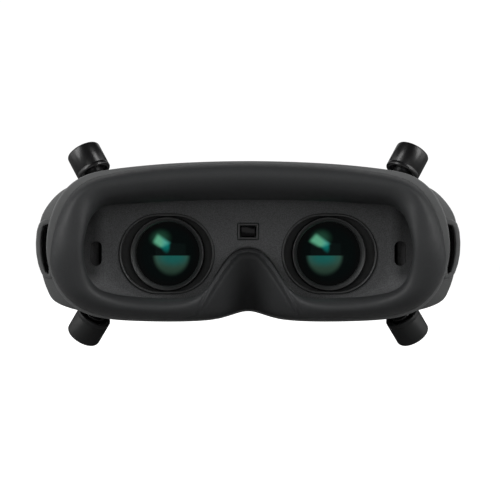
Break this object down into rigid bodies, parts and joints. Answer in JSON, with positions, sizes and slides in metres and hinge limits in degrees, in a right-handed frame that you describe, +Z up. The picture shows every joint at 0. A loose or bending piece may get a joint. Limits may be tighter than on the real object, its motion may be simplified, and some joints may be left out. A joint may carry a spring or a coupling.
{
  "type": "fpv goggles",
  "caption": "Head-worn video goggles with a foam face cushion, sliding and focusing eyepieces, strap loops and stub antennas at the corners.",
  "frame": {"origin": "middle of the front cover's flat outer face, at the height of the lens axes", "axes": "+X to the wearer's right when worn looking along +Y, +Y forward out of the front cover, +Z up"},
  "size_m": [0.1704, 0.094, 0.0847],
  "materials": {
    "foam": "soft matt foam skin",
    "housing_plastic": "fine textured black-grey plastic",
    "cover_plastic": "smooth dark cover",
    "chamber_plastic": "grained chamber plastic",
    "frame_plastic": "satin frame plastic",
    "ring_plastic": "satin ring plastic",
    "inner_black": "black moulded plastic",
    "lens_glass": "green coated eyepiece glass",
    "display_glass": "dark glass panel",
    "steel": "machined steel",
    "circuit_board": "green solder mask",
    "sink_aluminium": "extruded aluminium",
    "connector_brass": "gold plated connector",
    "antenna_gloss": "glossy black plastic",
    "control_plastic": "black control plastic"
  },
  "bodies": {
    "housing": {"rear_shell": "housing_plastic", "front_shell": "housing_plastic", "front_cover": "cover_plastic", "eye_plate": "chamber_plastic", "lens_surround_left": "ring_plastic", "lens_surround_right": "ring_plastic", "proximity_bezel": "ring_plastic", "proximity_window": "display_glass", "vent_grille_left": "inner_black", "vent_grille_right": "inner_black", "rail_upper": "steel", "rail_lower": "steel", "main_board": "circuit_board", "heat_sink": "sink_aluminium", "fan_frame": "inner_black", "dc_jack": "inner_black", "usb_port": "steel", "strap_loop_left": "housing_plastic", "strap_loop_right": "housing_plastic", "case_screw_1": "steel", "case_screw_2": "steel", "case_screw_3": "steel", "case_screw_4": "steel", "antenna_jack_upper_left": "connector_brass", "antenna_jack_upper_right": "connector_brass", "antenna_jack_lower_left": "connector_brass", "antenna_jack_lower_right": "connector_brass"},
    "face_pad": {"face_cushion": "foam", "cushion_frame": "frame_plastic"},
    "optic_left": {"slide_shutter_left": "inner_black", "lens_barrel_left": "inner_black", "microdisplay_left": "display_glass", "knob_shutter_left": "inner_black"},
    "lens_left": {"lens_cell_left": "ring_plastic", "eye_lens_left": "lens_glass"},
    "knob_left": {"adjust_knob_left": "control_plastic"},
    "optic_right": {"slide_shutter_right": "inner_black", "lens_barrel_right": "inner_black", "microdisplay_right": "display_glass", "knob_shutter_right": "inner_black"},
    "lens_right": {"lens_cell_right": "ring_plastic", "eye_lens_right": "lens_glass"},
    "knob_right": {"adjust_knob_right": "control_plastic"},
    "fan": {"fan_impeller": "inner_black"},
    "antenna_upper_left": {"antenna_cap_upper_left": "antenna_gloss", "antenna_nut_upper_left": "antenna_gloss"},
    "antenna_upper_right": {"antenna_cap_upper_right": "antenna_gloss", "antenna_nut_upper_right": "antenna_gloss"},
    "antenna_lower_left": {"antenna_cap_lower_left": "antenna_gloss", "antenna_nut_lower_left": "antenna_gloss"},
    "antenna_lower_right": {"antenna_cap_lower_right": "antenna_gloss", "antenna_nut_lower_right": "antenna_gloss"},
    "joystick_yoke": {"joystick_gimbal": "control_plastic"},
    "joystick_stick": {"joystick_stem": "steel"},
    "joystick_top": {"joystick_cap": "control_plastic"},
    "power_button_body": {"power_button": "control_plastic"},
    "record_button_body": {"record_button": "control_plastic"},
    "back_button_body": {"back_button": "control_plastic"},
    "port_flap": {"port_cover": "inner_black"}
  },
  "joints": [
    {"name": "face_pad_pull", "type": "slide", "parent": "housing", "child": "face_pad", "axis": [0, -1, 0], "range_m": [0, 0.03]},
    {"name": "eye_distance_left", "type": "slide", "parent": "housing", "child": "optic_left", "axis": [-1, 0, 0], "range_m": [-0.003, 0.0033]},
    {"name": "focus_knob_left", "type": "hinge", "parent": "optic_left", "child": "knob_left", "pos_m": [-0.0321, -0.032, -0.025], "axis": [0, 0, -1], "range_deg": [-135, 135]},
    {"name": "focus_travel_left", "type": "slide", "parent": "optic_left", "child": "lens_left", "axis": [0, 1, 0], "range_m": [-0.0025, 0.0025]},
    {"name": "eye_distance_right", "type": "slide", "parent": "housing", "child": "optic_right", "axis": [1, 0, 0], "range_m": [-0.003, 0.0033]},
    {"name": "focus_knob_right", "type": "hinge", "parent": "optic_right", "child": "knob_right", "pos_m": [0.0321, -0.032, -0.025], "axis": [0, 0, -1], "range_deg": [-135, 135]},
    {"name": "focus_travel_right", "type": "slide", "parent": "optic_right", "child": "lens_right", "axis": [0, 1, 0], "range_m": [-0.0025, 0.0025]},
    {"name": "fan_spin", "type": "hinge", "parent": "housing", "child": "fan", "pos_m": [0, -0.008, 0.004], "axis": [0, 1, 0], "continuous": true},
    {"name": "antenna_upper_left_turn", "type": "hinge", "parent": "housing", "child": "antenna_upper_left", "pos_m": [-0.0637, -0.023, 0.0335], "axis": [-0.4593, 0.3195, 0.8288], "continuous": true},
    {"name": "antenna_upper_right_turn", "type": "hinge", "parent": "housing", "child": "antenna_upper_right", "pos_m": [0.0637, -0.023, 0.0335], "axis": [0.4593, 0.3195, 0.8288], "continuous": true},
    {"name": "antenna_lower_left_turn", "type": "hinge", "parent": "housing", "child": "antenna_lower_left", "pos_m": [-0.0633, -0.026, -0.0252], "axis": [-0.4801, 0.4201, -0.7701], "continuous": true},
    {"name": "antenna_lower_right_turn", "type": "hinge", "parent": "housing", "child": "antenna_lower_right", "pos_m": [0.0633, -0.026, -0.0252], "axis": [0.4801, 0.4201, -0.7701], "continuous": true},
    {"name": "joystick_tilt_y", "type": "hinge", "parent": "housing", "child": "joystick_yoke", "pos_m": [0.044, -0.028, 0.0272], "axis": [1, 0, 0], "range_deg": [-8, 8]},
    {"name": "joystick_tilt_x", "type": "hinge", "parent": "joystick_yoke", "child": "joystick_stick", "pos_m": [0.044, -0.028, 0.0272], "axis": [0, 1, 0], "range_deg": [-8, 8]},
    {"name": "joystick_press", "type": "slide", "parent": "joystick_stick", "child": "joystick_top", "axis": [0, 0, -1], "range_m": [0, 0.0003]},
    {"name": "power_button_press", "type": "slide", "parent": "housing", "child": "power_button_body", "axis": [0, 0, -1], "range_m": [0, 0.0006]},
    {"name": "record_button_press", "type": "slide", "parent": "housing", "child": "record_button_body", "axis": [0, 0, -1], "range_m": [0, 0.0006]},
    {"name": "back_button_press", "type": "slide", "parent": "housing", "child": "back_button_body", "axis": [0, 0, -1], "range_m": [0, 0.0006]},
    {"name": "port_cover_open", "type": "hinge", "parent": "housing", "child": "port_flap", "pos_m": [0.026, -0.0151, -0.025], "axis": [-1, 0, 0], "range_deg": [0, 100]}
  ],
  "couplings": [
    {"joint": "focus_knob_left", "follows": "focus_travel_left", "rad_per_m": 940},
    {"joint": "focus_knob_right", "follows": "focus_travel_right", "rad_per_m": 940}
  ]
}
